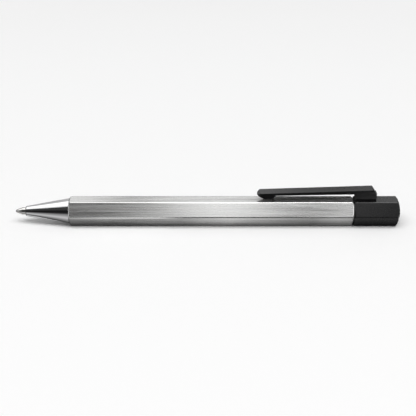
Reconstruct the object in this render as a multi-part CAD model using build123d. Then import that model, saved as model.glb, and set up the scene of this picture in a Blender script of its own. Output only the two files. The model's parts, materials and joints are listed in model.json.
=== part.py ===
from build123d import *
import math
import os

# Twist-action ballpoint pen lying on one flat of its hexagonal barrel.
# Lengths are in millimetres. The pen's axis runs along X with the writing point at -X,
# the clip is on +Z, and the bottom flats lie on Z = 0. "Along" is the distance from the
# writing point towards the cap, and outlines of turned pieces are (along, radius).

# Fits
overrun = 1.0
glue_gap = 0.02
running_clearance = 0.05
axial_play = 0.05

# Hexagonal barrel
across_flats = 9.3
edge_radius = 0.5
front_face_margin = 0.06
front_turn_angle = 30.0
rear_face_margin = 0.3
rear_turn_angle = 30.0

# Nose cone
point_reach = 3.7
cone_length = 15.55
mouth_wall = 0.315
mouth_rim_radius = 0.25
mouth_clearance = 0.15
throat_gap = 0.6
throat_clearance = 0.2
cone_base_margin = 0.05
nose_seam_width = 0.24
nose_seam_depth = 0.4
spring_seat_depth = 11.5
spigot_length = 8.0
spigot_wall = 0.5
chamber_clearance = 0.15
thread_clearance = 0.05

# Refill
refill_length = 98.1
refill_diameter = 5.8
refill_wall = 0.3
ball_diameter = 1.0
ball_clearance = 0.015
ball_proud = 0.3
lip_wall = 0.08
point_taper_length = 2.1
point_diameter = 2.57
point_length = 8.0
point_shank_diameter = 1.9
point_shank_length = 4.0
ink_channel_diameter = 0.6
holder_diameter = 3.6
holder_neck_length = 15.5
holder_bore = 1.4
flange_thickness = 1.0
holder_plug_length = 4.5
air_length = 8.0
follower_length = 4.0
end_plug_length = 4.1
end_plug_tail = 4.0
vent_diameter = 1.0

# Return spring
spring_wire = 0.45
spring_turns = 7
spring_end_gap = 0.03
arcs_per_turn = 4
gap_samples_per_turn = 48

# Twist mechanism
travel = 5.0
twist_angle = 180.0
slot_steps = 30
pusher_length = 9.6
end_gap = 0.5
sleeve_wall = 0.58
cam_wall = 0.6
cam_front_land = 1.0
cam_floor = 1.0
collar_thickness = 0.8
collar_clearance = 0.15
pin_diameter = 1.2
pin_end_margin = 0.13
slot_clearance = 0.08
washer_thickness = 0.3
bush_length = 2.85
stem_diameter = 4.0
stem_flat_depth = 0.5
ring_section = 0.8
ring_groove_clearance = 0.15

# End cap
seam = 0.1
shoulder_length = 0.4
shoulder_margin = 0.35
cap_length = 16.3
cap_face_reach = 0.45
cap_turn_angle = 30.0
dome_radius = 10.5
hub_wall = 1.28
hub_recess = 0.3
hub_length = 9.0
hub_end_gap = 0.3

# Clip
clip_width = 4.1
clip_edge_radius = 0.15
clip_reach = 34.1
clip_nose_radius = 1.5
nose_top = 3.0
nose_thickness = 0.6
nose_bevel_run = 0.6
nose_bevel_drop = 0.5
nose_tip_height = 0.15
root_top = 4.35
root_thickness = 1.5
tail_slope_run = 1.3
pad_clearance = 0.18
pad_front_run = 2.5
pad_length = 2.75
pad_rear_run = 1.05
foot_setback = 0.15
foot_length = 7.4
foot_width = 2.75
flex_setback = 1.0
flex_gap = 0.08
knuckle_share = 0.42
peg_diameter = 1.2
peg_depth = 0.9
peg_height = 1.6
peg_place_shares = (0.25, 0.75)

# Places along the pen, measured from the writing point
mouth = point_reach
barrel_front = mouth + cone_length
spring_seat = mouth + spring_seat_depth
flange_front = point_length + holder_neck_length
tube_front = flange_front + flange_thickness
ink_front = tube_front + holder_plug_length
tube_rear = refill_length - end_plug_length
plug_front = tube_rear - end_plug_tail
ink_rear = plug_front - air_length - follower_length
cam_front = refill_length + travel + end_gap
pin_place = cam_front + cam_front_land + pin_diameter / 2 + slot_clearance
cam_floor_front = refill_length + pusher_length + travel + end_gap
collar_front = cam_floor_front + cam_floor
collar_rear = collar_front + collar_thickness
washer_front = collar_rear + axial_play
bush_front = washer_front + washer_thickness
barrel_rear = bush_front + bush_length
shoulder_front = barrel_rear + seam
cap_front = shoulder_front + shoulder_length
cap_rear = cap_front + cap_length
hub_front = cap_front + hub_recess
hub_rear = hub_front + hub_length
middle = cap_rear / 2

# Radii and heights that several pieces share
axis_height = across_flats / 2
flat_radius = across_flats / 2
sharp_corner = flat_radius / math.cos(math.radians(30))
corner_radius = sharp_corner - edge_radius * (1 / math.cos(math.radians(30)) - 1)
blank_radius = sharp_corner + overrun
refill_radius = refill_diameter / 2
refill_bore_radius = refill_radius - refill_wall
chamber_radius = refill_radius + chamber_clearance
spigot_radius = chamber_radius + spigot_wall
bore_radius = spigot_radius + thread_clearance
throat_radius = holder_diameter / 2 + throat_clearance
mouth_bore_radius = point_diameter / 2 + mouth_clearance
mouth_radius = mouth_bore_radius + mouth_wall
ball_radius = ball_diameter / 2
sleeve_radius = bore_radius - glue_gap
sleeve_bore_radius = sleeve_radius - sleeve_wall
cam_radius = sleeve_bore_radius - running_clearance
cam_bore_radius = cam_radius - cam_wall
pusher_radius = cam_bore_radius - running_clearance
collar_radius = bore_radius - collar_clearance
stem_radius = stem_diameter / 2
bush_bore_radius = stem_radius + running_clearance
hub_radius = stem_radius + glue_gap + hub_wall
cap_bore_radius = hub_radius + glue_gap


def turned(*outline):
    """Solid of revolution about the pen's axis from (along, radius) points."""
    points = [(along - middle, radius) for along, radius in outline]
    face = make_face(Polyline(*points, close=True))
    return Pos(0, 0, axis_height) * revolve(face, Axis.X)


def ring(start, end, outer, inner):
    """Plain turned tube between two places along the pen."""
    return turned((start, inner), (end, inner), (end, outer), (start, outer))


def rod(start, end, radius):
    """Plain turned bar between two places along the pen."""
    return turned((start, 0), (end, 0), (end, radius), (start, radius))


def hex_bar(start, end):
    """Hexagonal bar with eased edges, flats on top and underneath."""
    section = RegularPolygon(flat_radius, 6, major_radius=False)
    section = fillet(section.vertices(), edge_radius)
    place = Plane((start - middle, 0, axis_height), x_dir=(0, 1, 0), z_dir=(1, 0, 0))
    return extrude(place * section, end - start)


def turned_end(face_place, face_radius, angle, inwards):
    """Outline points of a coned end, from the axis out past the hexagon's corners."""
    run = (blank_radius - face_radius) * math.tan(math.radians(angle))
    return [(face_place, 0), (face_place, face_radius), (face_place + inwards * run, blank_radius)]


def barrel():
    """Hexagonal tube, both ends turned so that the corners are coned off."""
    front = turned_end(barrel_front, flat_radius - front_face_margin, front_turn_angle, 1)
    rear = turned_end(barrel_rear, flat_radius - rear_face_margin, rear_turn_angle, -1)
    body = hex_bar(barrel_front, barrel_rear) & turned(*front, *reversed(rear))
    return body - rod(barrel_front - overrun, barrel_rear + overrun, bore_radius)


def nose_cone():
    """Cone with a rounded mouth, a shadow seam at its base and a spigot in the barrel."""
    base_radius = flat_radius - cone_base_margin
    seam_front = barrel_front - nose_seam_width
    seam_radius = base_radius - nose_seam_depth
    spigot_rear = barrel_front + spigot_length
    throat_front = point_length - throat_gap
    cone = turned(
        (mouth, 0),
        (mouth, mouth_radius),
        (seam_front, base_radius),
        (seam_front, seam_radius),
        (barrel_front, seam_radius),
        (barrel_front, spigot_radius),
        (spigot_rear, spigot_radius),
        (spigot_rear, 0),
    )
    rim = cone.edges().sort_by(Axis.X)[0]
    cone = fillet(rim, mouth_rim_radius)
    hollow = turned(
        (mouth - overrun, 0),
        (mouth - overrun, mouth_bore_radius),
        (throat_front, mouth_bore_radius),
        (throat_front, throat_radius),
        (spring_seat, throat_radius),
        (spring_seat, chamber_radius),
        (spigot_rear + overrun, chamber_radius),
        (spigot_rear + overrun, 0),
    )
    return cone - hollow


def writing_ball():
    """The ball, standing proud of the lip that holds it."""
    return Pos(ball_radius - middle, 0, axis_height) * Sphere(ball_radius)


def point_socket():
    """Turned point: lip over the ball, taper, body and the shank pressed in the holder."""
    seat_radius = ball_radius + ball_clearance
    lip_offset = ball_radius - ball_proud
    lip_radius = math.sqrt(seat_radius**2 - lip_offset**2) + lip_wall
    shank_rear = point_length + point_shank_length
    body = turned(
        (ball_proud, 0),
        (ball_proud, lip_radius),
        (ball_proud + point_taper_length, point_diameter / 2),
        (point_length, point_diameter / 2),
        (point_length, point_shank_diameter / 2),
        (shank_rear, point_shank_diameter / 2),
        (shank_rear, 0),
    )
    seat = Pos(ball_radius - middle, 0, axis_height) * Sphere(seat_radius)
    return body - seat - rod(ball_radius, shank_rear + overrun, ink_channel_diameter / 2)


def point_holder():
    """Stepped holder: neck inside the spring, flange that the spring pushes, plug in the tube."""
    socket_rear = point_length + point_shank_length
    body = turned(
        (point_length, 0),
        (point_length, holder_diameter / 2),
        (flange_front, holder_diameter / 2),
        (flange_front, refill_radius),
        (tube_front, refill_radius),
        (tube_front, refill_bore_radius - glue_gap),
        (ink_front, refill_bore_radius - glue_gap),
        (ink_front, 0),
    )
    socket = rod(point_length - overrun, socket_rear, point_shank_diameter / 2 + glue_gap)
    return body - socket - rod(point_length, ink_front + overrun, holder_bore / 2)


def refill_tube():
    """Thin metal ink tube."""
    return ring(tube_front, tube_rear, refill_radius, refill_bore_radius)


def ink():
    """Ink column behind the holder."""
    return rod(ink_front, ink_rear, refill_bore_radius - glue_gap)


def ink_follower():
    """Grease plug that follows the ink."""
    return rod(ink_rear, ink_rear + follower_length, refill_bore_radius - glue_gap)


def refill_plug():
    """Vented end plug that the pusher bears on."""
    plug = turned(
        (plug_front, 0),
        (plug_front, refill_bore_radius - glue_gap),
        (tube_rear, refill_bore_radius - glue_gap),
        (tube_rear, refill_radius),
        (refill_length, refill_radius),
        (refill_length, 0),
    )
    return plug - rod(plug_front - overrun, refill_length + overrun, vent_diameter / 2)


def biarc(start, start_way, end, end_way):
    """Two tangent arcs that join two points along the given unit directions."""
    chord = end - start
    spread = 2 * (1 - start_way.dot(end_way))
    lean = chord.dot(start_way + end_way)
    reach = (math.sqrt(lean**2 + spread * chord.dot(chord)) - lean) / spread
    first_corner = start + start_way * reach
    second_corner = end - end_way * reach
    knee = (first_corner + second_corner) / 2
    knee_way = second_corner - first_corner
    return [TangentArc(start, knee, tangent=start_way), TangentArc(knee, end, tangent=knee_way)]


def return_spring():
    """Coil between the seat in the nose cone and the refill's flange, compressed as in writing."""
    first_centre = spring_seat + spring_end_gap + spring_wire / 2
    last_centre = flange_front - spring_end_gap - spring_wire / 2
    pitch = (last_centre - first_centre) / spring_turns
    coil_radius = (holder_diameter / 2 + chamber_radius) / 2

    def centre(turn):
        angle = 2 * math.pi * turn
        x = first_centre + pitch * turn - middle
        return Vector(x, coil_radius * math.cos(angle), axis_height + coil_radius * math.sin(angle))

    def way(turn):
        angle = 2 * math.pi * turn
        around = 2 * math.pi * coil_radius
        return Vector(pitch, -around * math.sin(angle), around * math.cos(angle)).normalized()

    steps = [step / arcs_per_turn for step in range(spring_turns * arcs_per_turn + 1)]
    arcs = []
    for here, there in zip(steps, steps[1:]):
        arcs += biarc(centre(here), way(here), centre(there), way(there))
    path = Wire([arc.edge() for arc in arcs])
    section = Plane(centre(0), z_dir=way(0)) * Circle(spring_wire / 2)
    count = spring_turns * gap_samples_per_turn
    points = [centre(sample / gap_samples_per_turn) for sample in range(count + 1)]
    half_turn = gap_samples_per_turn // 2
    apart = min((a - b).length for i, a in enumerate(points) for b in points[i + half_turn:])
    print("return_spring: least gap to itself", round(apart - spring_wire, 3), "mm")
    return sweep(section, path=path)


def across_bar(along, angle, radius, length):
    """Round bar across the axis; angle is its turn about the axis from the Y direction."""
    turn = Rot(X=angle) * Rot(X=90)
    return Pos(along - middle, 0, axis_height) * turn * Cylinder(radius, length)


def guide_sleeve():
    """Sleeve fixed in the barrel, with two straight slots that keep the pin from turning."""
    sleeve = ring(cam_front, collar_front - axial_play, sleeve_radius, sleeve_bore_radius)
    slot_radius = pin_diameter / 2 + slot_clearance
    for place in (pin_place, pin_place + travel):
        sleeve -= across_bar(place, 0, slot_radius, 2 * bore_radius + overrun)
    slot = Box(travel, 2 * bore_radius + overrun, 2 * slot_radius)
    return sleeve - Pos(pin_place + travel / 2 - middle, 0, axis_height) * slot


def cam_tube():
    """Turning tube with two helical slots, a collar behind the sleeve and a stem to the cap."""
    cam = turned(
        (cam_front, cam_bore_radius),
        (cam_front, cam_radius),
        (collar_front, cam_radius),
        (collar_front, collar_radius),
        (collar_rear, collar_radius),
        (collar_rear, stem_radius),
        (hub_rear, stem_radius),
        (hub_rear, 0),
        (cam_floor_front, 0),
        (cam_floor_front, cam_bore_radius),
    )
    slot_radius = pin_diameter / 2 + slot_clearance
    for step in range(slot_steps + 1):
        place = pin_place + travel * step / slot_steps
        turn = -twist_angle * step / slot_steps
        cam -= across_bar(place, turn, slot_radius, 2 * sleeve_bore_radius + overrun)
    return cam - stem_flat(stem_radius - stem_flat_depth)


def stem_flat(height):
    """Block over the flat that keys the stem in the hub, from a height above the axis up."""
    block = Box(hub_length, 2 * stem_diameter, stem_diameter, align=(Align.MIN, Align.CENTER, Align.MIN))
    return Pos(hub_front - middle, 0, axis_height + height) * block


def pusher():
    """Bar inside the cam tube that pushes the refill, cross-drilled for the pin."""
    body = rod(refill_length, refill_length + pusher_length, pusher_radius)
    return body - across_bar(pin_place, 0, pin_diameter / 2 + glue_gap, 2 * pusher_radius + overrun)


def cross_pin():
    """Pin through the pusher, the helical slots and the straight slots."""
    return across_bar(pin_place, 0, pin_diameter / 2, 2 * (sleeve_radius - pin_end_margin))


def thrust_washer():
    """Washer between the collar and the bush."""
    return ring(washer_front, bush_front, collar_radius, bush_bore_radius)


def ring_middle():
    """Place of the drag ring along the pen, half way through the bush."""
    return bush_front + bush_length / 2


def rear_bush():
    """Bush fixed in the barrel's rear, grooved inside for the drag ring."""
    bush = ring(bush_front, barrel_rear, sleeve_radius, bush_bore_radius)
    half = (ring_section + ring_groove_clearance) / 2
    groove_radius = bush_bore_radius + ring_section
    return bush - ring(ring_middle() - half, ring_middle() + half, groove_radius, stem_radius)


def drag_ring():
    """Rubber ring that rubs on the stem and holds the cap where it is turned."""
    centre_radius = bush_bore_radius + ring_section / 2 - glue_gap
    section = Pos(ring_middle() - middle, centre_radius) * Circle(ring_section / 2)
    return Pos(0, 0, axis_height) * revolve(section, Axis.X)


def cap_hub():
    """Hub in the cap that the keyed stem fits."""
    hub = ring(hub_front, hub_rear, hub_radius, 0)
    keyed_bore = rod(hub_front, hub_rear, stem_radius + glue_gap)
    return hub - (keyed_bore - stem_flat(stem_radius - stem_flat_depth + glue_gap))


def pegs(radius):
    """Two upright pegs that pin the clip's foot to the cap."""
    start = cap_front + foot_setback - middle
    low = (Align.CENTER, Align.CENTER, Align.MIN)
    base = across_flats - peg_depth
    peg = Cylinder(radius, peg_depth + peg_height, align=low)
    return [Pos(start + foot_length * share, 0, base) * peg for share in peg_place_shares]


def end_cap():
    """Hexagonal cap: round shoulder in the seam, domed rear end, bore for the hub, holes for the pegs."""
    front = turned_end(cap_front, flat_radius + cap_face_reach, cap_turn_angle, 1)
    blank = turned(*front, (cap_rear + overrun, blank_radius), (cap_rear + overrun, 0))
    dome_centre = cap_rear - dome_radius
    dome = Pos(dome_centre - middle, 0, axis_height) * Sphere(dome_radius)
    dome += rod(dome_centre - cap_length, dome_centre, blank_radius)
    body = hex_bar(cap_front, cap_rear) & blank & dome
    body += rod(shoulder_front, cap_front + hub_recess, flat_radius - shoulder_margin)
    body -= rod(shoulder_front - overrun, hub_rear + hub_end_gap, cap_bore_radius)
    for peg in pegs(peg_diameter / 2 + glue_gap):
        body -= peg
    return body


def clip_blank():
    """Whole clip plate in its side outline, rounded in plan at the nose, and its under line."""
    tail = cap_front + foot_setback + foot_length - middle
    nose = cap_front + foot_setback - clip_reach - middle
    top = across_flats
    nose_under = top + nose_top - nose_thickness
    root_under = top + root_top - root_thickness

    def under(x):
        return nose_under + (root_under - nose_under) * (x - nose) / (tail - nose)

    pad_low = axis_height + corner_radius + pad_clearance
    pad_front = nose + pad_front_run
    pad_rear = pad_front + pad_length
    pad_back = pad_rear + pad_rear_run
    nose_edge = top + nose_top - nose_bevel_drop
    outline = Polyline(
        (nose, nose_edge),
        (nose + nose_bevel_run, top + nose_top),
        (tail - tail_slope_run, top + root_top),
        (tail, root_under),
        (pad_back, under(pad_back)),
        (pad_rear, pad_low),
        (pad_front, pad_low),
        (nose, nose_edge - nose_tip_height),
        close=True,
    )
    plate = extrude(Plane.XZ * make_face(outline), clip_width / 2, both=True)
    plan = Rectangle(tail - nose, clip_width, align=(Align.MIN, Align.CENTER))
    plan = fillet(plan.vertices().sort_by(Axis.X)[:2], clip_nose_radius)
    plate &= extrude(Pos(nose, 0, top) * plan, root_top + overrun)
    crown = plate.faces().sort_by(Axis.Z)[-1]
    return fillet(crown.edges(), clip_edge_radius), under


def flex_line(under):
    """Place, height and knuckle radius of the line where the clip bends, ahead of its foot."""
    x = cap_front + foot_setback - flex_setback - middle
    nose = cap_front + foot_setback - clip_reach - middle
    tail_top = cap_front + foot_setback + foot_length - tail_slope_run - middle
    rise = (root_top - nose_top) * (x - nose) / (tail_top - nose)
    top = across_flats + nose_top + rise
    return x, (top + under(x)) / 2, knuckle_share * (top - under(x))


def knuckle(x, height, radius):
    """Round bar along the bending line."""
    return Pos(x, 0, height) * Rot(X=90) * Cylinder(radius, clip_width)


def half_space(x, towards):
    """Block that takes in everything on one side of a place along the clip."""
    size = clip_reach + foot_length + overrun
    side = Align.MIN if towards > 0 else Align.MAX
    block = Box(size, clip_width + overrun, size, align=(side, Align.CENTER, Align.CENTER))
    return Pos(x, 0, across_flats) * block


def clip_arm():
    """Springy arm with the pad under its nose, ending in a knuckle on the bending line."""
    plate, under = clip_blank()
    x, height, radius = flex_line(under)
    return (plate & half_space(x - flex_gap, -1)) + knuckle(x, height, radius)


def clip_foot():
    """Root of the clip on its foot block, hollowed for the arm's knuckle and the pegs."""
    plate, under = clip_blank()
    x, height, radius = flex_line(under)
    root = (plate & half_space(x, 1)) - knuckle(x, height, radius + running_clearance)
    front = cap_front + foot_setback - middle
    rear = front + foot_length
    outline = Polyline(
        (front, across_flats),
        (rear, across_flats),
        (rear, under(rear)),
        (front, under(front)),
        close=True,
    )
    root += extrude(Plane.XZ * make_face(outline), foot_width / 2, both=True)
    for peg in pegs(peg_diameter / 2 + glue_gap):
        root -= peg
    return root


def clip_pegs():
    """The two pegs, one group."""
    return Compound(children=pegs(peg_diameter / 2))


pieces = [
    barrel,
    nose_cone,
    writing_ball,
    point_socket,
    point_holder,
    refill_tube,
    ink,
    ink_follower,
    refill_plug,
    return_spring,
    guide_sleeve,
    cam_tube,
    pusher,
    cross_pin,
    thrust_washer,
    rear_bush,
    drag_ring,
    end_cap,
    cap_hub,
    clip_arm,
    clip_foot,
    clip_pegs,
]

os.makedirs("parts", exist_ok=True)
for piece in pieces:
    export_step(piece(), f"parts/{piece.__name__}.step")
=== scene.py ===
"""Studio scene of a hexagonal twist ballpoint pen lying on a white table.

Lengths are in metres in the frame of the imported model: the pen's axis runs along X with the
writing point at -X, the clip is on +Z, and the bottom flats rest on Z = 0.
"""

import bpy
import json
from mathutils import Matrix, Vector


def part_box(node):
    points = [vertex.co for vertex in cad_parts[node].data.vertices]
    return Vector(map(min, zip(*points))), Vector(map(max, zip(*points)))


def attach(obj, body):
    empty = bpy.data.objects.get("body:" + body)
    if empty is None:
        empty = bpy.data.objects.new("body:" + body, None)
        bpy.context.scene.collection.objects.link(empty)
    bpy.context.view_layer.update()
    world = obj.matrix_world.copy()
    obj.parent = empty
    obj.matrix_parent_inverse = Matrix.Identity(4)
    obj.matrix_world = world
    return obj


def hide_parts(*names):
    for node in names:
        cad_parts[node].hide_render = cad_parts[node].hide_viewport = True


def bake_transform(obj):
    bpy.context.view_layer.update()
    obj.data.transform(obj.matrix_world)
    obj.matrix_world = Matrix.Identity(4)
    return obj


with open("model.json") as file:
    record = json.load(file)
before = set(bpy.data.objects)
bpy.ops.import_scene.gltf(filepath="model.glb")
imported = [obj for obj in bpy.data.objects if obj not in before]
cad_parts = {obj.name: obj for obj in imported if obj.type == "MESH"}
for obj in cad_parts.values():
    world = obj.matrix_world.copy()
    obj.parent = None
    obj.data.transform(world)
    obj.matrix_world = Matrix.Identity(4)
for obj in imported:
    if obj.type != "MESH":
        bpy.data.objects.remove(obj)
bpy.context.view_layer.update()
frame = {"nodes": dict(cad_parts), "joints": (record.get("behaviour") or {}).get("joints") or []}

import json
import logging
import math
from collections.abc import Callable, Sequence
from dataclasses import dataclass, field
from enum import Enum
from functools import cache

import bmesh
import bpy
from bpy.types import ID, Material, Node, NodeSocket, NodeTree, Object
from mathutils import Vector

log = logging.getLogger("pen")

MM = 0.001
PICTURE_SIDE_PX = 416
WEAR = "wear"
PAINTED_SHADE = "painted_shade"
GLOW = "glow"
MERGE_GAP = 0.0005 * MM
LARGE_FACE_WEIGHT = 100
HEX_SIDES = 6
HEX_HALF = math.pi / HEX_SIDES

# Sockets of the Mix node, whose names repeat: the share, two values or two colours, and the result.
MIX_SHARE, MIX_VALUE_A, MIX_VALUE_B, MIX_COLOUR_A, MIX_COLOUR_B = 0, 2, 3, 6, 7
MIX_VALUE, MIX_COLOUR = 0, 2

Pair = tuple[float, float]
Corner = tuple[float, float, float]
Profile = list[Pair]
Ring = list[Vector]
Row = tuple[float, float, float]
Inputs = dict[str | int, object]


class Body(Enum):
    """Bodies of the frame that the pieces ride on."""

    BARREL = "barrel"
    CAP = "cap"
    CLIP = "clip"
    REFILL = "refill"
    BALL = "ball"


class End(Enum):
    """Ends of the hexagonal bar, each with its way into the bar along X."""

    FRONT = 1
    REAR = -1


class Side(Enum):
    """Sides of the pen that a sheet can stand on, each with its way along Y."""

    FRONT = -1
    BACK = 1


# Colour and nodes


def linear(code: str) -> tuple[float, float, float, float]:
    """Turns an sRGB hex colour into linear RGBA.

    Args:
        code: colour as "#rrggbb".

    Returns:
        Linear red, green, blue and an alpha of 1.
    """
    shares = [int(code[start : start + 2], 16) / 255 for start in (1, 3, 5)]
    return (*[s / 12.92 if s <= 0.04045 else ((s + 0.055) / 1.055) ** 2.4 for s in shares], 1.0)


def feed(node: Node, inputs: Inputs) -> None:
    """Sets inputs of a node.

    Args:
        node: the node.
        inputs: values of its inputs, or the output sockets that feed them.
    """
    for name, value in inputs.items():
        if isinstance(value, NodeSocket):
            node.id_data.links.new(value, node.inputs[name])
        else:
            node.inputs[name].default_value = value


def add_node(tree: NodeTree, kind: str, inputs: Inputs | None = None, **settings: object) -> Node:
    """Adds one shader node, with its inputs and its settings.

    Args:
        tree: node tree that takes the node.
        kind: Blender's name of the node type, without the prefix that all of them share.
        inputs: values of its inputs, or the output sockets that feed them.
        settings: properties of the node.

    Returns:
        The new node.
    """
    node = tree.nodes.new(f"ShaderNode{kind}")
    for name, value in settings.items():
        setattr(node, name, value)
    feed(node, inputs or {})
    return node


# Finishes


@dataclass(frozen=True)
class Grain:
    """Marks that the making of a surface left on it, with lengths in millimetres.

    Attributes:
        along: length of one mark along the pen.
        across: width of one mark across it.
        tone: share by which the marks darken the colour.
        gloss: swing of the roughness either way.
        height: height of the marks.
        detail: octaves of finer marks inside them.
        ragged: strength of each octave against the one before.
    """

    along: float
    across: float
    tone: float
    gloss: float
    height: float
    detail: float = 2.0
    ragged: float = 0.55

    def noise(self, tree: NodeTree) -> NodeSocket:
        """Adds the marks' noise to a material.

        Args:
            tree: the material's node tree.

        Returns:
            The noise's output.
        """
        place = add_node(tree, "TexCoord").outputs["Object"]
        scale = tuple(1 / (size * MM) for size in (self.along, self.across, self.across))
        place = add_node(tree, "Mapping", {"Vector": place, "Scale": scale}).outputs[0]
        inputs = {"Vector": place, "Scale": 1.0, "Detail": self.detail, "Roughness": self.ragged}
        return add_node(tree, "TexNoise", inputs).outputs[0]


@dataclass(frozen=True)
class Finish:
    """One real material as its making left it.

    Attributes:
        name: the material's common name and process.
        colour: sRGB hex colour.
        roughness: mean roughness.
        grains: marks on the surface, the finest first.
        metallic: 1 for bare metal.
        ior: index of refraction, left at the shader's own on metals.
        anisotropy: how far brushing stretches the highlights round the axis.
        bleed: weight of light that scatters under the surface.
        bleed_depth: how deep that light goes.
        worn_roughness: roughness of the edges that handling has polished.
        painted_shade: share by which painted shade darkens the colour in the cone's seam and round its
            mouth.
        seen_range: noise values that the marks' swing spans.
    """

    name: str
    colour: str
    roughness: float
    grains: tuple[Grain, ...]
    metallic: float = 0.0
    ior: float | None = None
    anisotropy: float = 0.0
    bleed: float = 0.0
    bleed_depth: float = 0.4 * MM
    worn_roughness: float | None = None
    painted_shade: float = 0.0
    seen_range: Pair = (0.3, 0.7)

    @cache
    def material(self) -> Material:
        """Builds the material, once for all the pieces that share it.

        Returns:
            The material.
        """
        material = bpy.data.materials.new(self.name)
        material.use_nodes = True
        tree = material.node_tree
        inputs: Inputs = {
            "Metallic": self.metallic,
            "Anisotropic": self.anisotropy,
            "Subsurface Weight": self.bleed,
            "Subsurface Scale": self.bleed_depth,
        }
        if self.ior is not None:
            inputs["IOR"] = self.ior
        if self.anisotropy:
            inputs["Tangent"] = add_node(tree, "Tangent", direction_type="RADIAL", axis="X").outputs[0]
        roughness: object = self.roughness
        bump: Inputs = {}
        shades = []
        for grain in self.grains:
            noise = grain.noise(tree)
            seen = {"Value": noise, "From Min": self.seen_range[0], "From Max": self.seen_range[1]}
            marks = {**seen, "To Min": 1 - grain.tone, "To Max": 1.0}
            shades.append(add_node(tree, "MapRange", marks).outputs[0])
            swing = {**seen, "To Min": -grain.gloss, "To Max": grain.gloss}
            uneven = add_node(tree, "MapRange", swing).outputs[0]
            roughness = add_node(tree, "Math", {0: roughness, 1: uneven}).outputs[0]
            relief = {"Height": noise, "Distance": grain.height * MM, "Strength": 1.0, **bump}
            bump = {"Normal": add_node(tree, "Bump", relief).outputs[0]}
        if self.worn_roughness is not None:
            wear = add_node(tree, "Attribute", attribute_name=WEAR).outputs["Fac"]
            polish = {MIX_SHARE: wear, MIX_VALUE_A: roughness, MIX_VALUE_B: self.worn_roughness}
            roughness = add_node(tree, "Mix", polish).outputs[MIX_VALUE]
        # Painted shade: darkens the colour where the mesh's painted-shade mark is set, in the cone's seam
        # and mouth.
        if self.painted_shade:
            shade_mask = add_node(tree, "Attribute", attribute_name=PAINTED_SHADE).outputs["Fac"]
            shade_range = {"Value": shade_mask, "To Min": 1.0, "To Max": 1 - self.painted_shade}
            shades.append(add_node(tree, "MapRange", shade_range).outputs[0])
        colour: object = linear(self.colour)
        for shade in shades:
            tones = {MIX_SHARE: 1.0, MIX_COLOUR_A: colour, MIX_COLOUR_B: shade}
            darken = add_node(tree, "Mix", tones, blend_type="MULTIPLY", data_type="RGBA")
            colour = darken.outputs[MIX_COLOUR]
        inputs |= {"Base Color": colour, "Roughness": roughness, **bump}
        feed(tree.nodes["Principled BSDF"], inputs)
        return material


# Marks that are really finer than 0.3 mm are drawn about that wide, because finer ones don't show.

# Belt-brushed stainless steel: lengthwise scratches blur reflections round the barrel and leave
# them sharp along it, and the edges are polished by handling. The scratches are really about 0.05 mm
# wide, and drawn 0.4 mm wide.
BRUSHED_STEEL = Finish(
    "stainless_steel_belt_brushed", "#dcdcdb",
    metallic=1.0, roughness=0.25, anisotropy=0.75, worn_roughness=0.16,
    grains=(
        Grain(25, 0.4, tone=0.26, gloss=0.06, height=0.001),
        Grain(70, 1.2, tone=0.14, gloss=0.05, height=0.0015),
    ),
)

# Buffed steel: a near mirror with the faint rings that buffing on a lathe leaves, and painted shade
# darkening its seam and the ring round its mouth.
POLISHED_STEEL = Finish(
    "stainless_steel_buffed", "#d2d2d3", metallic=1.0, roughness=0.09, painted_shade=0.8,
    grains=(Grain(0.35, 9, tone=0.03, gloss=0.02, height=0.0002),),
)

# Black anodised aluminium: a dark, even satin skin with the fine tooth of bead blasting.
BLACK_ANODISED = Finish(
    "aluminium_bead_blasted_black_anodised", "#0d0d0e", roughness=0.25, ior=1.52,
    grains=(
        Grain(0.3, 0.3, tone=0.10, gloss=0.04, height=0.002),
        Grain(9, 3, tone=0.05, gloss=0.02, height=0.0005),
    ),
)

# Dip-coated spring steel: a thin black lacquer, a little duller than the cap, with marks that run along it.
BLACK_LACQUER = Finish(
    "spring_steel_black_dip_coated", "#0d0d0e", roughness=0.32, ior=1.6,
    grains=(
        Grain(1.2, 0.3, tone=0.10, gloss=0.05, height=0.003),
        Grain(12, 2, tone=0.08, gloss=0.03, height=0.001),
    ),
)

# Nickel silver from an automatic lathe: warm grey with fine tool rings.
NICKEL_SILVER = Finish(
    "nickel_silver_lathe_turned", "#cbcac8", metallic=1.0, roughness=0.11,
    grains=(Grain(0.3, 6, tone=0.10, gloss=0.04, height=0.0008),),
)

# Tungsten carbide: a ground grey ball with a fine tooth that carries the ink.
CARBIDE = Finish(
    "tungsten_carbide_ground", "#5a5b5f", metallic=1.0, roughness=0.22,
    grains=(Grain(0.3, 0.3, tone=0.15, gloss=0.05, height=0.001),),
)

# Drawn brass: yellow, with draw lines along the tube.
BRASS_DRAWN = Finish(
    "brass_drawn_tube", "#d0ab63", metallic=1.0, roughness=0.28,
    grains=(Grain(18, 0.35, tone=0.12, gloss=0.06, height=0.001),),
)

# Turned brass: the same metal with tool rings round it.
BRASS_TURNED = Finish(
    "brass_lathe_turned", "#cfa85c", metallic=1.0, roughness=0.24,
    grains=(Grain(0.35, 8, tone=0.12, gloss=0.05, height=0.001),),
)

# Drawn spring wire: blue-grey steel with long draw lines.
SPRING_WIRE = Finish(
    "spring_steel_wire_drawn", "#b1b3b6", metallic=1.0, roughness=0.27,
    grains=(Grain(1.5, 0.3, tone=0.15, gloss=0.06, height=0.001),),
)

# Moulded acetal: a milky, slippery plastic that light enters a little.
ACETAL = Finish(
    "acetal_injection_moulded", "#e4e3dd", roughness=0.40, ior=1.48, bleed=0.15,
    grains=(Grain(0.5, 0.5, tone=0.04, gloss=0.06, height=0.003),),
)

# Moulded polypropylene of the refill: a duller, greyer plastic.
POLYPROPYLENE = Finish(
    "polypropylene_injection_moulded", "#d6d5cf", roughness=0.46, ior=1.49, bleed=0.2,
    grains=(Grain(0.5, 0.5, tone=0.05, gloss=0.06, height=0.004),),
)

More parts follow.
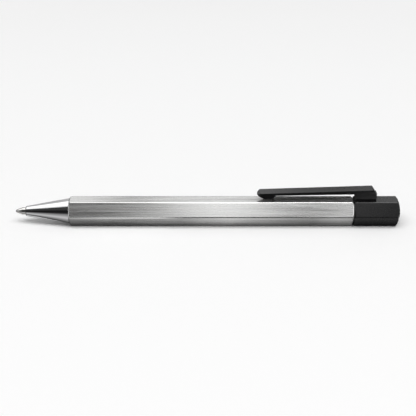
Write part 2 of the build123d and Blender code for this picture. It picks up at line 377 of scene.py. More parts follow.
# Moulded nitrile rubber: dull black with a soft tooth.
NITRILE = Finish(
    "nitrile_rubber_moulded", "#1f1f20", roughness=0.78, ior=1.52,
    grains=(Grain(0.3, 0.3, tone=0.2, gloss=0.08, height=0.006),),
)

# Ballpoint paste: a thick, glossy blue-black fluid.
INK_PASTE = Finish(
    "ink_paste_blue", "#101a4a", roughness=0.12, ior=1.5,
    grains=(Grain(4, 2, tone=0.2, gloss=0.03, height=0.004),),
)

# Follower grease: a cloudy amber gel.
GREASE = Finish(
    "follower_grease_amber", "#d9c691", roughness=0.25, ior=1.47, bleed=0.3,
    grains=(Grain(2, 2, tone=0.12, gloss=0.05, height=0.006),),
)


# Shapes


def softened(corners: Sequence[Corner], steps: int) -> Profile:
    """Rounds the inner corners of an open outline.

    Args:
        corners: (along, out, corner radius) of each corner; the first and last stay sharp.
        steps: straight pieces in each rounded corner.

    Returns:
        The outline's points.
    """
    points = [corners[0][:2]]
    for before, here, after in zip(corners, corners[1:], corners[2:]):
        corner = Vector(here[:2])
        back = (Vector(before[:2]) - corner).normalized()
        onward = (Vector(after[:2]) - corner).normalized()
        half = back.angle(onward) / 2
        centre = corner + (back + onward).normalized() * here[2] / math.sin(half)
        first = corner + back * here[2] / math.tan(half) - centre
        last = corner + onward * here[2] / math.tan(half) - centre
        start = math.atan2(first.y, first.x)
        sweep = math.remainder(math.atan2(last.y, last.x) - start, math.tau)
        for step in range(steps + 1):
            angle = start + sweep * step / steps
            points.append((centre.x + here[2] * math.cos(angle), centre.y + here[2] * math.sin(angle)))
    points.append(corners[-1][:2])
    return points


def hexagon_spokes(flat: float, radius: float, arc_steps: int, flat_steps: int) -> list[Vector]:
    """Outline of a hexagon with eased corners and flats on top and underneath.

    Args:
        flat: distance from the axis to a flat.
        radius: radius of the eased corners.
        arc_steps: straight pieces in each corner.
        flat_steps: strips across each flat.

    Returns:
        (y, z) spokes from the axis to the outline.
    """
    reach = (flat - radius) / math.cos(HEX_HALF)
    arcs = []
    for corner in range(HEX_SIDES):
        way = 2 * HEX_HALF * corner
        turns = [way + HEX_HALF * (2 * step / arc_steps - 1) for step in range(arc_steps + 1)]
        centre = Vector((reach * math.cos(way), reach * math.sin(way)))
        arcs.append([centre + Vector((radius * math.cos(turn), radius * math.sin(turn))) for turn in turns])
    spokes = []
    for arc, following in zip(arcs, arcs[1:] + arcs[:1]):
        spokes += arc
        spokes += [arc[-1].lerp(following[0], step / flat_steps) for step in range(1, flat_steps)]
    return spokes


def round_spokes(steps: int) -> list[Vector]:
    """Spokes of a unit circle."""
    turns = [math.tau * step / steps for step in range(steps)]
    return [Vector((math.cos(turn), math.sin(turn))) for turn in turns]


def eased_rectangle(low: Pair, high: Pair, radius: float, steps: int) -> Profile:
    """Outline of a rectangle with rounded corners.

    Args:
        low: its lowest corner.
        high: its highest corner.
        radius: radius of the corners.
        steps: straight pieces in each corner.

    Returns:
        The outline's points.
    """
    left, right = low[0] + radius, high[0] - radius
    under, over = low[1] + radius, high[1] - radius
    points = []
    for quarter, (u, v) in enumerate(((right, over), (left, over), (left, under), (right, under))):
        for step in range(steps + 1):
            turn = math.pi / 2 * (quarter + step / steps)
            points.append((u + radius * math.cos(turn), v + radius * math.sin(turn)))
    return points


def rings_about_axis(
    axis_height: float, spokes: Sequence[Vector], profile: Callable[[float], Profile]
) -> list[Ring]:
    """Sweeps a profile round the pen's axis.

    Args:
        axis_height: height of the axis.
        spokes: (y, z) spokes of the section.
        profile: gives the (along, radius) points for a spoke's length.

    Returns:
        One ring of points for each point of the profile.
    """
    columns = []
    for spoke in spokes:
        way = spoke.normalized()
        points = profile(spoke.length)
        columns.append([Vector((x, way.x * out, axis_height + way.y * out)) for x, out in points])
    return [list(ring) for ring in zip(*columns)]


def add_object(name: str, data: ID) -> Object:
    """Adds an object to the scene.

    Args:
        name: its name.
        data: its mesh, light or camera.

    Returns:
        The new object.
    """
    thing = bpy.data.objects.new(name, data)
    bpy.context.scene.collection.objects.link(thing)
    return thing


def skin(
    name: str,
    rings: Sequence[Ring],
    wrap: bool = False,
    sharp: float = 24.0,
    marks: dict[str, Callable[[Vector], float]] | None = None,
) -> Object:
    """Makes a closed mesh over rings of points.

    Args:
        name: name of the piece.
        rings: rings with equally many points; points that fall together are merged.
        wrap: joins the last ring to the first instead of closing both ends.
        sharp: angle in degrees past which an edge stays sharp.
        marks: attributes that the points carry, each with the rule that gives its value.

    Returns:
        The new object, linked to the scene.
    """
    mesh = bpy.data.meshes.new(name)
    bm = bmesh.new()
    layers = [(bm.verts.layers.float.new(mark), rule) for mark, rule in (marks or {}).items()]
    rows = [[bm.verts.new(point) for point in ring] for ring in rings]
    for layer, rule in layers:
        for vertex in bm.verts:
            vertex[layer] = rule(vertex.co)
    pairs = list(zip(rows, rows[1:])) + ([(rows[-1], rows[0])] if wrap else [])
    for near, far in pairs:
        for a, b, c, d in zip(near, near[1:] + near[:1], far[1:] + far[:1], far):
            bm.faces.new((a, b, c, d))
    if not wrap:
        bm.faces.new(rows[0])
        bm.faces.new(rows[-1])
    bmesh.ops.remove_doubles(bm, verts=bm.verts, dist=MERGE_GAP)
    bmesh.ops.recalc_face_normals(bm, faces=bm.faces)
    for face in bm.faces:
        face.smooth = True
    bm.to_mesh(mesh)
    bm.free()
    mesh.set_sharp_from_angle(angle=math.radians(sharp))
    return add_object(name, mesh)


def even_normals(piece: Object) -> None:
    """Keeps flats flat beside narrow rounded edges.

    Args:
        piece: piece with flats and rounded edges.
    """
    modifier = piece.modifiers.new("even_normals", "WEIGHTED_NORMAL")
    modifier.keep_sharp = True
    modifier.weight = LARGE_FACE_WEIGHT


def coat(piece: Object, finish: Finish) -> None:
    """Gives a piece its finish."""
    piece.data.materials.clear()
    piece.data.materials.append(finish.material())


def dress(piece: Object, finish: Finish) -> None:
    """Gives a piece its finish."""
    coat(piece, finish)


def seat(piece: Object, body: Body, node: str) -> None:
    """Lets a piece ride on a body in place of a node.

    Args:
        piece: the piece.
        body: body that carries it.
        node: name of the node that it stands for.
    """
    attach(piece, body.value)
    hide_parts(node)
    log.info("%s rides on %s", piece.name, body.value)


# Sub-assemblies


@dataclass(frozen=True)
class CutEnd:
    """How one end of the hexagonal bar is finished.

    Attributes:
        face: radius of the flat face, less the bar's distance to its flats.
        angle: angle of the cone that takes off the corners, in degrees from the face.
        ease: least that is taken off all round.
        radius: radius of the two edges that the cone leaves.
    """

    face: float
    angle: float
    ease: float
    radius: float

    def corners(self, place: float, end: End, flat: float, out: float) -> list[Corner]:
        """Corners of the end, from its face to the bar's surface.

        Args:
            place: place of the face.
            end: which end of the bar it is.
            flat: distance from the axis to the bar's flats.
            out: radius of the bar along the spoke.

        Returns:
            The two corners.
        """
        rim = min(flat + self.face, out - self.ease)
        run = (out - rim) * math.tan(math.radians(self.angle))
        return [(place, rim, self.radius), (place + end.value * run, out, self.radius)]


@dataclass
class HexStock:
    """Hexagonal bar that the barrel and the cap are cut from."""

    edge_radius: float = 0.5 * MM
    arc_steps: int = 6
    flat_steps: int = 4
    rim_steps: int = 4
    wear_margin: float = 0.01 * MM
    flat: float = field(init=False)
    axis_height: float = field(init=False)

    def __post_init__(self) -> None:
        """Reads the size across flats and the axis from the barrel's node."""
        low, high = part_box("barrel")
        self.flat = (high.z - low.z) / 2
        self.axis_height = (high.z + low.z) / 2

    def rings(self, profile: Callable[[float], Profile]) -> list[Ring]:
        """Rings of a piece cut from the bar."""
        spokes = hexagon_spokes(self.flat, self.edge_radius, self.arc_steps, self.flat_steps)
        return rings_about_axis(self.axis_height, spokes, profile)

    def wear(self, point: Vector) -> float:
        """Polish that handling leaves on the bar's long edges.

        Args:
            point: point of the surface.

        Returns:
            1 on the edges, else 0.
        """
        edge_start = math.hypot(self.flat, (self.flat - self.edge_radius) * math.tan(HEX_HALF))
        out = math.hypot(point.y, point.z - self.axis_height)
        return 1.0 if out > edge_start + self.wear_margin else 0.0


@dataclass
class Barrel:
    """Hexagonal barrel with both ends coned, and the polished cone screwed into it."""

    stock: HexStock
    front: CutEnd = CutEnd(face=0.3 * MM, angle=55.0, ease=0.15 * MM, radius=0.06 * MM)
    rear: CutEnd = CutEnd(face=0.35 * MM, angle=58.0, ease=0.12 * MM, radius=0.06 * MM)
    bore: float = 3.6 * MM
    cone_margin: float = 0.05 * MM
    mouth_radius: float = 1.75 * MM
    mouth_bore: float = 1.435 * MM
    mouth_rim: float = 0.25 * MM
    mouth_band: float = 0.45 * MM
    throat_depth: float = 3.7 * MM
    throat_radius: float = 2.0 * MM
    seam_width: float = 0.1 * MM
    seam_depth: float = 0.6 * MM
    seat_depth: float = 11.5 * MM
    chamber_radius: float = 3.05 * MM
    spigot_radius: float = 3.55 * MM
    sharp_radius: float = 0.02 * MM
    seam_edge: float = 0.04 * MM
    cone_steps: int = 160
    bend_steps: int = 6

    def build_tube(self) -> None:
        """Makes, dresses and seats the hexagonal tube."""
        low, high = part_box("barrel")

        def profile(out: float) -> Profile:
            """From the front bore edge along the outside to the rear bore edge.

            Args:
                out: distance from the axis to the bar's surface.

            Returns:
                The profile's points.
            """
            front = self.front.corners(low.x, End.FRONT, self.stock.flat, out)
            rear = self.rear.corners(high.x, End.REAR, self.stock.flat, out)
            corners = [(low.x, self.bore, 0.0), *front, *reversed(rear), (high.x, self.bore, 0.0)]
            return softened(corners, self.stock.rim_steps)

        def wear(point: Vector) -> float:
            """Polish on the long edges and round both rims."""
            front, rear = low.x + self.front.ease, high.x - self.rear.ease
            return max(self.stock.wear(point), 0.0 if front < point.x < rear else 1.0)

        tube = skin("barrel_tube", self.stock.rings(profile), wrap=True, marks={WEAR: wear})
        even_normals(tube)
        dress(tube, BRUSHED_STEEL)
        seat(tube, Body.BARREL, "barrel")

    def build_cone(self) -> None:
        """Makes, dresses and seats the cone, with its rounded mouth, its seam and its spigot."""
        low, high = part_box("nose_cone")
        base = self.stock.flat - self.cone_margin
        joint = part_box("barrel")[0].x
        seam = joint - self.seam_width
        throat = low.x + self.throat_depth
        seat_place = low.x + self.seat_depth
        slope = (base - self.mouth_radius) / (seam - low.x)
        small = self.sharp_radius
        corners = [
            (throat, self.mouth_bore, 0.0),
            (low.x, self.mouth_bore, small),
            (low.x, self.mouth_radius, self.mouth_rim),
            (low.x + self.mouth_band, self.mouth_radius + self.mouth_band * slope, 0.0),
            (seam, base, self.seam_edge),
            (seam, base - self.seam_depth, small),
            (joint, base - self.seam_depth, small),
            (joint, self.spigot_radius, small),
            (high.x, self.spigot_radius, small),
            (high.x, self.chamber_radius, small),
            (seat_place, self.chamber_radius, small),
            (seat_place, self.throat_radius, small),
            (throat, self.throat_radius, 0.0),
        ]
        outline = softened(corners, self.bend_steps)
        rings = rings_about_axis(self.stock.axis_height, round_spokes(self.cone_steps), lambda _: outline)

        def shade_mask(point: Vector) -> float:
            """Painted shade in the seam's groove and in a ring round the mouth, where the point comes out.
            """
            return 1.0 if seam < point.x <= joint or point.x < low.x + self.mouth_rim else 0.0

        # The mark paints shade into the seam's groove and the ring round the mouth.
        cone = skin("nose_cone_turned", rings, wrap=True, marks={PAINTED_SHADE: shade_mask})
        dress(cone, POLISHED_STEEL)
        seat(cone, Body.BARREL, "nose_cone")

    def build(self) -> None:
        """Builds both pieces."""
        self.build_tube()
        self.build_cone()


@dataclass
class WritingPoint:
    """The refill's turned point with its ball.

    The socket's depth and wall are multiples of its radius, and the other sizes are lengths.
    """

    axis_height: float
    lip_wall: float = 0.08 * MM
    ball_clearance: float = 0.015 * MM
    taper_length: float = 2.1 * MM
    body_radius: float = 1.285 * MM
    shoulder_radius: float = 0.25 * MM
    shank_radius: float = 0.95 * MM
    shank_length: float = 4.0 * MM
    sharp_radius: float = 0.02 * MM
    socket_depth: float = 1.5
    socket_wall: float = 0.5
    steps: int = 96
    bend_steps: int = 4
    ball_steps: int = 24

    def build_socket(self) -> None:
        """Makes, dresses and seats the point: lip, taper, body and shank, hollow round the ball."""
        low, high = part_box("point_socket")
        ball_low, ball_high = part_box("writing_ball")
        centre = (ball_low.x + ball_high.x) / 2
        seat_radius = (ball_high.x - ball_low.x) / 2 + self.ball_clearance
        lip = math.sqrt(seat_radius**2 - (centre - low.x) ** 2)
        shoulder = high.x - self.shank_length
        small = self.sharp_radius
        corners = [
            (centre + self.socket_depth * seat_radius, 0.0, 0.0),
            (centre + self.socket_wall * seat_radius, seat_radius, small),
            (centre, seat_radius, small),
            (low.x, lip, small),
            (low.x, lip + self.lip_wall, small),
            (low.x + self.taper_length, self.body_radius, self.shoulder_radius),
            (shoulder, self.body_radius, small),
            (shoulder, self.shank_radius, small),
            (high.x, self.shank_radius, small),
            (high.x, 0.0, 0.0),
        ]
        outline = softened(corners, self.bend_steps)
        rings = rings_about_axis(self.axis_height, round_spokes(self.steps), lambda _: outline)
        point = skin("point_turned", rings)
        dress(point, NICKEL_SILVER)
        seat(point, Body.REFILL, "point_socket")

    def build_ball(self) -> None:
        """Makes, dresses and seats the ball, a fine sphere."""
        low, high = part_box("writing_ball")
        radius = (high.x - low.x) / 2
        centre = (high.x + low.x) / 2
        turns = [math.pi * step / self.ball_steps for step in range(self.ball_steps + 1)]
        outline = [(centre - radius * math.cos(turn), radius * math.sin(turn)) for turn in turns]
        rings = rings_about_axis(self.axis_height, round_spokes(self.steps), lambda _: outline)
        ball = skin("ball_ground", rings)
        dress(ball, CARBIDE)
        seat(ball, Body.BALL, "writing_ball")

    def build(self) -> None:
        """Builds both pieces."""
        self.build_socket()
        self.build_ball()


@dataclass
class EndCap:
    """Black hexagonal cap with a round shoulder in the seam and a domed end."""

    stock: HexStock
    front: CutEnd = CutEnd(face=0.45 * MM, angle=30.0, ease=0.06 * MM, radius=0.04 * MM)
    shoulder_length: float = 0.4 * MM
    shoulder_radius: float = 4.3 * MM
    shoulder_edge: float = 0.02 * MM
    dome_radius: float = 10.5 * MM
    crease_radius: float = 0.12 * MM
    bore: float = 3.32 * MM
    bore_depth: float = 10.0 * MM
    dome_steps: int = 12

    def build(self) -> None:
        """Makes, dresses and seats the cap."""
        low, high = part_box("end_cap")
        centre = high.x - self.dome_radius
        floor = low.x + self.bore_depth
        face = low.x + self.shoulder_length

        def profile(out: float) -> Profile:
            """From the bore's floor round the front end and along the outside to the dome's top.

            Args:
                out: distance from the axis to the bar's surface.

            Returns:
                The profile's points.
            """
            start = math.asin(out / self.dome_radius)
            turns = [start * (1 - step / self.dome_steps) for step in range(1, self.dome_steps + 1)]
            ball = self.dome_radius
            dome = [(centre + ball * math.cos(turn), ball * math.sin(turn)) for turn in turns]
            brink = centre + math.sqrt(ball**2 - out**2)
            corners = [
                (low.x, self.bore, 0.0),
                (low.x, self.shoulder_radius, self.shoulder_edge),
                (face, self.shoulder_radius, self.shoulder_edge),
                *self.front.corners(face, End.FRONT, self.stock.flat, out),
                (brink, out, self.crease_radius),
                (*dome[0], 0.0),
            ]
            inside = [(floor, 0.0), (floor, self.bore)]
            return inside + softened(corners, self.stock.rim_steps) + dome[1:]

        cap = skin("cap_shell", self.stock.rings(profile))
        even_normals(cap)
        dress(cap, BLACK_ANODISED)
        seat(cap, Body.CAP, "end_cap")


@dataclass
class PocketClip:
    """Springy clip: one plate that bends ahead of its foot, and the foot block on the cap.

    The two edge shares limit the edge radius by the plate's thickness and half width.
    """

    top: float
    nose_rise: float = 3.0 * MM
    nose_thickness: float = 0.95 * MM
    bevel_run: float = 0.9 * MM
    bevel_drop: float = 0.75 * MM
    bevel_radius: float = 0.12 * MM
    tip_height: float = 0.15 * MM
    nose_radius: float = 1.5 * MM
    root_rise: float = 4.35 * MM
    root_thickness: float = 1.53 * MM
    slope_run: float = 0.95 * MM
    tail_thickness: float = 0.2 * MM
    tail_setback: float = 0.45 * MM
    pad_front_run: float = 2.5 * MM
    pad_length: float = 2.75 * MM
    pad_rear_run: float = 1.05 * MM
    bend_radius: float = 0.35 * MM
    edge_radius: float = 0.15 * MM
    edge_share_up: float = 0.45
    edge_share_across: float = 0.9
    foot_width: float = 2.75 * MM
    foot_length: float = 7.4 * MM
    foot_edge: float = 0.15 * MM
    foot_sink: float = 0.15 * MM
    foot_drop: float = 0.1 * MM
    edge_steps: int = 3
    bend_steps: int = 5
    nose_steps: int = 10
    arm_steps: int = 24
    least_step: float = 0.01 * MM

    def height_at(self, line: Profile, x: float) -> float:
        """Height of a side line at a place along the clip.

        Args:
            line: the line's points, nose to tail.
            x: the place.

        Returns:
            The height.
        """
        for (x0, z0), (x1, z1) in zip(line, line[1:]):
            if x0 <= x < x1:
                return z0 + (z1 - z0) * (x - x0) / (x1 - x0)
        return line[-1][1]

    def side_lines(self) -> tuple[Profile, Profile]:
        """Draws the side of the plate.

        Returns:
            Its upper and lower lines, nose to tail.
        """
        arm_low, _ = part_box("clip_arm")
        nose, tail = arm_low.x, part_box("clip_foot")[1].x - self.tail_setback
        nose_under = self.top + self.nose_rise - self.nose_thickness
        root_under = self.top + self.root_rise - self.root_thickness
        pad_front = nose + self.pad_front_run
        pad_rear = pad_front + self.pad_length
        pad_back = pad_rear + self.pad_rear_run
        back_under = nose_under + (root_under - nose_under) * (pad_back - nose) / (tail - nose)
        tip = self.top + self.nose_rise - self.bevel_drop
        upper = [
            (nose, tip, 0.0),
            (nose + self.bevel_run, self.top + self.nose_rise, self.bevel_radius),
            (tail - self.slope_run, self.top + self.root_rise, self.bend_radius),
            (tail, root_under + self.tail_thickness, 0.0),
        ]
        lower = [
            (nose, tip - self.tip_height, 0.0),
            (pad_front, arm_low.z, self.bend_radius),
            (pad_rear, arm_low.z, self.bend_radius),
            (pad_back, back_under, self.bend_radius),
            (tail, root_under, 0.0),
        ]
        return softened(upper, self.bend_steps), softened(lower, self.bend_steps)

    def half_width(self, x: float, nose: float, side: float) -> float:
        """Half the plate's width, drawn in round the nose.

        Args:
            x: place along the clip.
            nose: place of the nose.
            side: half the width behind the nose.

        Returns:
            Half the width.
        """
        short = self.nose_radius - (x - nose)
        if short <= 0:
            return side
        return side - self.nose_radius + math.sqrt(max(self.nose_radius**2 - short**2, 0.0))

    def build_plate(self) -> None:
        """Makes the plate of eased rectangles, dresses it and bakes it in place of the clip's arm."""
        upper, lower = self.side_lines()
        nose, tail = upper[0][0], upper[-1][0]
        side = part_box("clip_arm")[1].y
        turns = [math.pi / 2 * step / self.nose_steps for step in range(self.nose_steps + 1)]
        places = {nose + self.nose_radius * (1 - math.cos(turn)) for turn in turns}
        places |= {x for x, _ in upper + lower}
        places |= {nose + (tail - nose) * step / self.arm_steps for step in range(self.arm_steps + 1)}
        stations = sorted(places)
        stations = [x for x, after in zip(stations, stations[1:]) if after - x > self.least_step] + [tail]
        rings = []
        for x in stations:
            high, low = self.height_at(upper, x), self.height_at(lower, x)
            half = self.half_width(x, nose, side)
            radius = min(self.edge_radius, self.edge_share_up * (high - low), self.edge_share_across * half)
            outline = eased_rectangle((-half, low), (half, high), radius, self.edge_steps)
            rings.append([Vector((x, y, z)) for y, z in outline])
        plate = skin("clip_plate", rings)
        even_normals(plate)
        dress(plate, BLACK_LACQUER)
        bend = next(joint for joint in frame["joints"] if joint["name"] == "clip_flex")
        x, y, z = bend["pos_m"]
        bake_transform(plate)
        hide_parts("clip_arm")
        log.info("%s bends with the clip", plate.name)

    def build_foot(self) -> None:
        """Makes, dresses and seats the foot block, let a little into the plate."""
        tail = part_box("clip_foot")[1].x
        front = tail - self.foot_length
        half = self.foot_width / 2
        _, lower = self.side_lines()
        ground, roof = [], []
        for x, y in eased_rectangle((front, -half), (tail, half), self.foot_edge, self.edge_steps):
            rise = self.foot_sink if x < (front + tail) / 2 else -self.foot_drop
            ground.append(Vector((x, y, self.top)))
            roof.append(Vector((x, y, self.height_at(lower, x) + rise)))
        foot = skin("clip_foot_block", [ground, roof])
        even_normals(foot)
        dress(foot, BLACK_LACQUER)
        seat(foot, Body.CAP, "clip_foot")

    def build(self) -> None:
        """Builds both pieces."""
        self.build_plate()
        self.build_foot()


@dataclass
class ReturnSpring:
    """Coil that stretches between its seat in the cone and the refill's flange."""

    axis_height: float
    wire: float = 0.45 * MM
    turns: int = 7
    steps_per_turn: int = 40
    wire_steps: int = 12
    sharp: float = 60.0

    def build(self) -> None:
        """Makes and dresses the coil, and bakes it in place of the spring's node."""
        low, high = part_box("return_spring")
        first, last = low.x + self.wire / 2, high.x - self.wire / 2
        radius = high.y - self.wire / 2
        pitch = (last - first) / self.turns
        spokes = round_spokes(self.wire_steps)
        rings = []
        for step in range(self.turns * self.steps_per_turn + 1):
            angle = math.tau * step / self.steps_per_turn
            out = Vector((0, math.cos(angle), math.sin(angle)))
            along = first + pitch * step / self.steps_per_turn
            centre = Vector((along, 0, self.axis_height)) + radius * out
            around = Vector((0, -math.sin(angle), math.cos(angle))) * math.tau * radius
            way = (Vector((pitch, 0, 0)) + around).normalized()
            side = way.cross(out)
            rings.append([centre + (out * s.x + side * s.y) * self.wire / 2 for s in spokes])
        coil = skin("return_spring_coil", rings, sharp=self.sharp)
        dress(coil, SPRING_WIRE)
        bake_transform(coil)
        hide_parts("return_spring")
        log.info("%s follows the refill", coil.name)


@dataclass
class InnerWorks:
    """Refill and twist mechanism inside the barrel, kept as they were constructed."""

    finishes: tuple[tuple[Finish, tuple[str, ...]], ...] = (
        (POLYPROPYLENE, ("point_holder", "refill_plug")),
        (BRASS_DRAWN, ("refill_tube",)),
        (INK_PASTE, ("ink",)),
        (GREASE, ("ink_follower",)),
        (BRASS_TURNED, ("guide_sleeve", "cam_tube", "rear_bush", "cap_hub")),
        (ACETAL, ("pusher", "thrust_washer")),
        (SPRING_WIRE, ("cross_pin", "clip_pegs")),
        (NITRILE, ("drag_ring",)),
    )

    def build(self) -> None:
        """Dresses every inner node in its own finish."""
        for finish, nodes in self.finishes:
            for node in nodes:
                coat(frame["nodes"][node], finish)
                log.info("%s is dressed in %s", node, finish.name)


# Studio


def background_rays(tree: NodeTree) -> NodeSocket:
    """Tells the rays that show the background from those that light the scene.

    Args:
        tree: node tree that takes the nodes.

    Returns:
        An output that is 1 for camera, glossy and transmission rays, else 0.
    """
    path = add_node(tree, "LightPath")
    seen = path.outputs["Is Camera Ray"]
    for kind in ("Is Glossy Ray", "Is Transmission Ray"):
        either = {0: seen, 1: path.outputs[kind]}
        seen = add_node(tree, "Math", either, operation="MAXIMUM").outputs[0]
    return seen


@dataclass
class Scrim:
    """Sheet beside the pen that only shows in reflections.

    Attributes:
        name: name of the sheet.
        path: (y, z, brightness) of the sheet's rows, from its near edge.
        spans: (x, multiple of the brightness) of its columns, from left to right.
        turn: angle in degrees by which it is turned about the upright through the pen's middle.
    """

    name: str
    path: tuple[Row, ...]
    spans: tuple[Pair, ...]
    turn: float = 0.0

    def material(self) -> Material:
        """Builds the sheet's glow from the brightness that its points carry.

        Returns:
            The material.
        """
        material = bpy.data.materials.new(self.name)
        material.use_nodes = True
        tree = material.node_tree
        tree.nodes.remove(tree.nodes["Principled BSDF"])
        tone = add_node(tree, "Attribute", attribute_name=GLOW).outputs["Fac"]
        glow = add_node(tree, "Emission", {"Strength": tone})
        feed(tree.nodes["Material Output"], {"Surface": glow.outputs[0]})
        return material

    def build(self) -> None:
        """Makes the sheet and hides it from all but reflections."""
        mesh = bpy.data.meshes.new(self.name)
        points = [(x, y, z) for y, z, _ in self.path for x, _ in self.spans]
        tones = [tone * share for _, _, tone in self.path for _, share in self.spans]
        wide = len(self.spans)
        corners = [row * wide + column for row in range(len(self.path) - 1) for column in range(wide - 1)]
        mesh.from_pydata(points, [], [(c, c + 1, c + wide + 1, c + wide) for c in corners])
        mesh.attributes.new(GLOW, "FLOAT", "POINT").data.foreach_set("value", tones)
        mesh.materials.append(self.material())
        sheet = add_object(self.name, mesh)
        sheet.rotation_euler.z = math.radians(self.turn)
        for kind in ("camera", "diffuse", "transmission", "volume_scatter", "shadow"):
            setattr(sheet, f"visible_{kind}", False)


def arc_path(side: Side, radius: float, *tones: Pair) -> tuple[Row, ...]:
    """Rows of a sheet bent round the pen.

    Args:
        side: side of the pen that it stands on.
        radius: distance from the pen.
        tones: (elevation in degrees, brightness) of each row.

    Returns:
        (y, z, brightness) of each row.
    """
    rows = []
    for elevation, tone in tones:
        turn = math.radians(elevation)
        rows.append((side.value * radius * math.cos(turn), radius * math.sin(turn), tone))
    return tuple(rows)


def level_path(height: float, *tones: Pair) -> tuple[Row, ...]:
    """Rows of a level sheet, from the (y, brightness) of each row."""
    return tuple((y, height, tone) for y, tone in tones)


MAT_HEIGHT = 0.2 * MM
CARD_HEIGHT = 0.3 * MM
WALL_DISTANCE = 0.6
END_DISTANCE = 0.9
CEILING_HEIGHT = 0.5

SHEETS = (
    # Table in front of the pen, which shows in its lower flats, with a painted shadow that darkens it
    # towards the pen.
    Scrim(
        "front_mat",
        level_path(
            MAT_HEIGHT, (-0.0027, 0.03), (-0.0036, 0.12), (-0.005, 0.35), (-0.0065, 0.6), (-0.0075, 0.7),
        ),
        (
            (-0.9, 1), (-0.03, 0.9), (-0.009, 1.4), (0.008, 2.4), (0.02, 1.75),
            (0.037, 1.05), (0.046, 1.6), (0.05, 1.5), (0.053, 0.8), (0.9, 0.6),
        ),
    ),
    Scrim(
        "far_mat",
        level_path(
            MAT_HEIGHT, (-0.0075, 0.7), (-0.0085, 0.8), (-0.0115, 0.67), (-0.016, 0.5),
            (-0.029, 0.33), (-0.15, 0.19), (-0.3, 0.04), (-0.6, 0.02),
        ),
        (
            (-0.9, 1), (-0.05, 1), (-0.045, 1.6), (-0.037, 2.8), (-0.018, 2.5), (-0.008, 0.1),
            (0.024, 0.1), (0.03, 0.2), (0.044, 0.2), (0.048, 0.1), (0.9, 0.1),
        ),
    ),
    # Walls in front, which show in the upper front flat and on the cone, and behind, for the top flat.
    Scrim(
        "low_wall",
        arc_path(Side.FRONT, WALL_DISTANCE, (0, 0.08), (6, 0.05), (12, 0.012), (22, 0.015)),
        ((-0.9, 1), (0.07, 1), (0.09, 4), (0.125, 5), (0.145, 1), (0.9, 1)),
    ),
    Scrim(
        "front_wall",
        arc_path(
            Side.FRONT, WALL_DISTANCE,
            (22, 0.018), (28, 0.03), (36, 0.08), (45, 0.14), (55, 0.115), (66, 0.107),
        ),
        (
            (-0.9, 0.5), (-0.19, 0.5), (-0.155, 3.8), (-0.105, 2.1), (-0.055, 9.5), (0, 20.5),
            (0.025, 25), (0.07, 12), (0.115, 4.6), (0.13, 4.8), (0.158, 19), (0.185, 20),
            (0.2, 0.5), (0.4, 0.5), (0.55, 10), (0.9, 50),
        ),
    ),
    Scrim(
        "back_sheet",
        arc_path(Side.BACK, WALL_DISTANCE, (1, 0.12), (15, 0.13), (30, 0.15), (45, 0.17), (56, 0.2)),
        (
            (-0.9, 4.2), (-0.22, 4.2), (-0.17, 6.6), (-0.145, 8), (-0.085, 4), (0, 6.8), (0.05, 7),
            (0.065, 2.4), (0.15, 2.4), (0.18, 5.2), (0.24, 5.2), (0.27, 0.5), (0.9, 0.5),
        ),
    ),
    Scrim(
        "back_mat",
        level_path(MAT_HEIGHT, (0.0027, 0.05), (0.6, 0.05)),
        ((-0.9, 10), (-0.05, 10), (-0.04, 1), (0.9, 1)),
    ),
    # Cards: a dark one behind the clip that paints the clip's shadow on the top flat under it, and one that
    # lightens the clip's foot.
    Scrim("clip_shadow_card", ((0.003, 0.0094, 0.02), (0.003, 0.0118, 0.02)), ((0.0228, 1), (0.054, 1))),
    Scrim("foot_card", level_path(CARD_HEIGHT, (-0.015, 1.3), (-0.0205, 1.3)), ((0.0545, 1), (0.075, 1))),
    # Sheets past the cap and the point, which show in the rims at the barrel's ends.
    Scrim(
        "right_sheet",
        arc_path(Side.FRONT, END_DISTANCE, (2, 0.9), (45, 0.9)),
        ((-0.5, 1), (-0.36, 1), (-0.3, 3), (-0.1, 3), (-0.04, 1), (0.5, 1)),
        turn=90,
    ),
    Scrim(
        "left_flag",
        arc_path(Side.FRONT, END_DISTANCE, (0, 0.2), (50, 0.2)),
        ((-0.5, 1), (0.03, 1), (0.06, 8), (0.16, 8), (0.2, 1), (0.5, 1)),
        turn=-90,
    ),
    # Sheets overhead, which make the highlight along the upper edge.
    Scrim(
        "top_left_sheet",
        level_path(CEILING_HEIGHT, (-0.14, 2.6), (0.05, 3.2), (0.3, 3.2), (0.4, 2.8)),
        ((-0.65, 0.55), (-0.2, 0.6), (-0.12, 0.7), (-0.07, 0.9), (-0.05, 1)),
    ),
    Scrim(
        "top_right_sheet",
        level_path(CEILING_HEIGHT, (-0.16, 3.4), (0.05, 4.2), (0.22, 4.2)),
        ((-0.05, 0.85), (0.06, 0.9), (0.11, 1.4), (0.19, 1.4), (0.21, 0.3), (0.9, 0.3)),
    ),
)


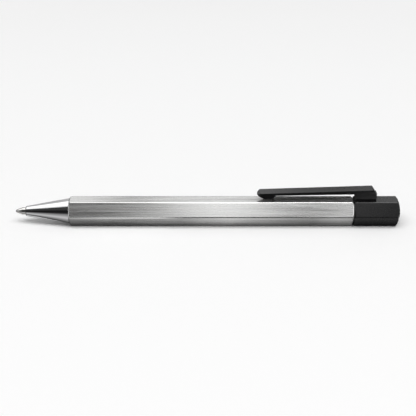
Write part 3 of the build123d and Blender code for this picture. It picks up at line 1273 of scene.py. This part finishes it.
@dataclass
class Studio:
    """White table, soft light and the camera.

    The room, its fill light and the box's glow are multiples of white. The table fades into the room
    between the two distances of floor_fade, so that no horizon shows.
    """

    axis_height: float
    floor_radius: float = 6.0
    floor_segments: int = 96
    floor_colour: str = "#fdfdfd"
    floor_fade: Pair = (0.35, 1.0)
    room: float = 1.0
    room_colour: str = "#ffffff"
    fill: float = 0.35
    box_size: Pair = (4.0, 1.4)
    box_place: tuple[float, float, float] = (0.0, -0.85, 2.4)
    box_glow: float = 3.45
    elevation: float = 26.3
    focal_px: float = 800.0
    pen_mm_per_px: float = 0.352
    axis_drop_px: float = 3.0
    centre_left_px: float = 0.45
    sensor_mm: float = 36.0
    near_clip: float = 0.01

    def build_floor(self) -> None:
        """Makes the table as a wide white disc that fades into the white room far from the pen."""
        mesh = bpy.data.meshes.new("table")
        bm = bmesh.new()
        bmesh.ops.create_circle(bm, cap_ends=True, segments=self.floor_segments, radius=self.floor_radius)
        bm.to_mesh(mesh)
        bm.free()
        material = bpy.data.materials.new("table_white_laminate")
        material.use_nodes = True
        tree = material.node_tree
        shader = tree.nodes["Principled BSDF"]
        feed(shader, {"Base Color": linear(self.floor_colour), "Roughness": 1.0, "Specular IOR Level": 0.0})
        place = add_node(tree, "TexCoord").outputs["Object"]
        away = add_node(tree, "VectorMath", {0: place}, operation="LENGTH").outputs["Value"]
        near, far = self.floor_fade
        fade = {"Value": away, "From Min": near, "From Max": far, "To Max": background_rays(tree)}
        share = add_node(tree, "MapRange", fade).outputs[0]
        white = add_node(tree, "Emission").outputs[0]
        mix = add_node(tree, "MixShader", {0: share, 1: shader.outputs[0], 2: white})
        feed(tree.nodes["Material Output"], {"Surface": mix.outputs[0]})
        mesh.materials.append(material)
        add_object("table", mesh)

    def build_world(self) -> None:
        """Makes a white room that the camera and reflections see, and that fills the shadows."""
        world = bpy.data.worlds.new("white_room")
        bpy.context.scene.world = world
        world.use_nodes = True
        tree = world.node_tree
        levels = {"Value": background_rays(tree), "To Min": self.fill, "To Max": self.room}
        level = add_node(tree, "MapRange", levels).outputs[0]
        feed(tree.nodes["Background"], {"Color": linear(self.room_colour), "Strength": level})

    def build_box(self) -> None:
        """Hangs a soft box over the pen, which lights it and stays out of its reflections."""
        wide, deep = self.box_size
        light = bpy.data.lights.new("top_box", "AREA")
        light.shape = "RECTANGLE"
        light.size, light.size_y = wide, deep
        light.energy = self.box_glow * math.pi * wide * deep
        lamp = add_object("top_box", light)
        lamp.location = self.box_place
        lamp.rotation_mode = "QUATERNION"
        lamp.rotation_quaternion = (-Vector(self.box_place)).to_track_quat("-Z", "Y")
        lamp.visible_glossy = False

    def build_camera(self) -> None:
        """Sets the camera where the photograph was taken from."""
        data = bpy.data.cameras.new("camera")
        data.sensor_width = self.sensor_mm
        data.lens = self.sensor_mm * self.focal_px / PICTURE_SIDE_PX
        tilt = math.radians(self.elevation)
        back = Vector((0, -math.cos(tilt), math.sin(tilt)))
        up = Vector((0, math.sin(tilt), math.cos(tilt)))
        pixel = self.pen_mm_per_px * MM
        aim = Vector((self.centre_left_px * pixel, 0, self.axis_height)) + up * self.axis_drop_px * pixel
        camera = add_object("camera", data)
        camera.location = aim + back * self.focal_px * pixel
        camera.rotation_mode = "QUATERNION"
        camera.rotation_quaternion = (-back).to_track_quat("-Z", "Y")
        data.clip_start, data.clip_end = self.near_clip, 2 * self.floor_radius
        bpy.context.scene.camera = camera

    def build(self) -> None:
        """Sets up the whole studio."""
        self.build_floor()
        self.build_world()
        self.build_box()
        for sheet in SHEETS:
            sheet.build()
        self.build_camera()
        bpy.context.scene.view_settings.view_transform = "Standard"
        log.info("studio is set")


def main() -> None:
    logging.basicConfig(level=logging.INFO, format="%(name)s: %(message)s")
    stock = HexStock()
    Barrel(stock).build()
    WritingPoint(stock.axis_height).build()
    EndCap(stock).build()
    PocketClip(top=2 * stock.axis_height).build()
    ReturnSpring(stock.axis_height).build()
    InnerWorks().build()
    Studio(stock.axis_height).build()
    bpy.context.view_layer.update()


if __name__ == "__main__":
    main()
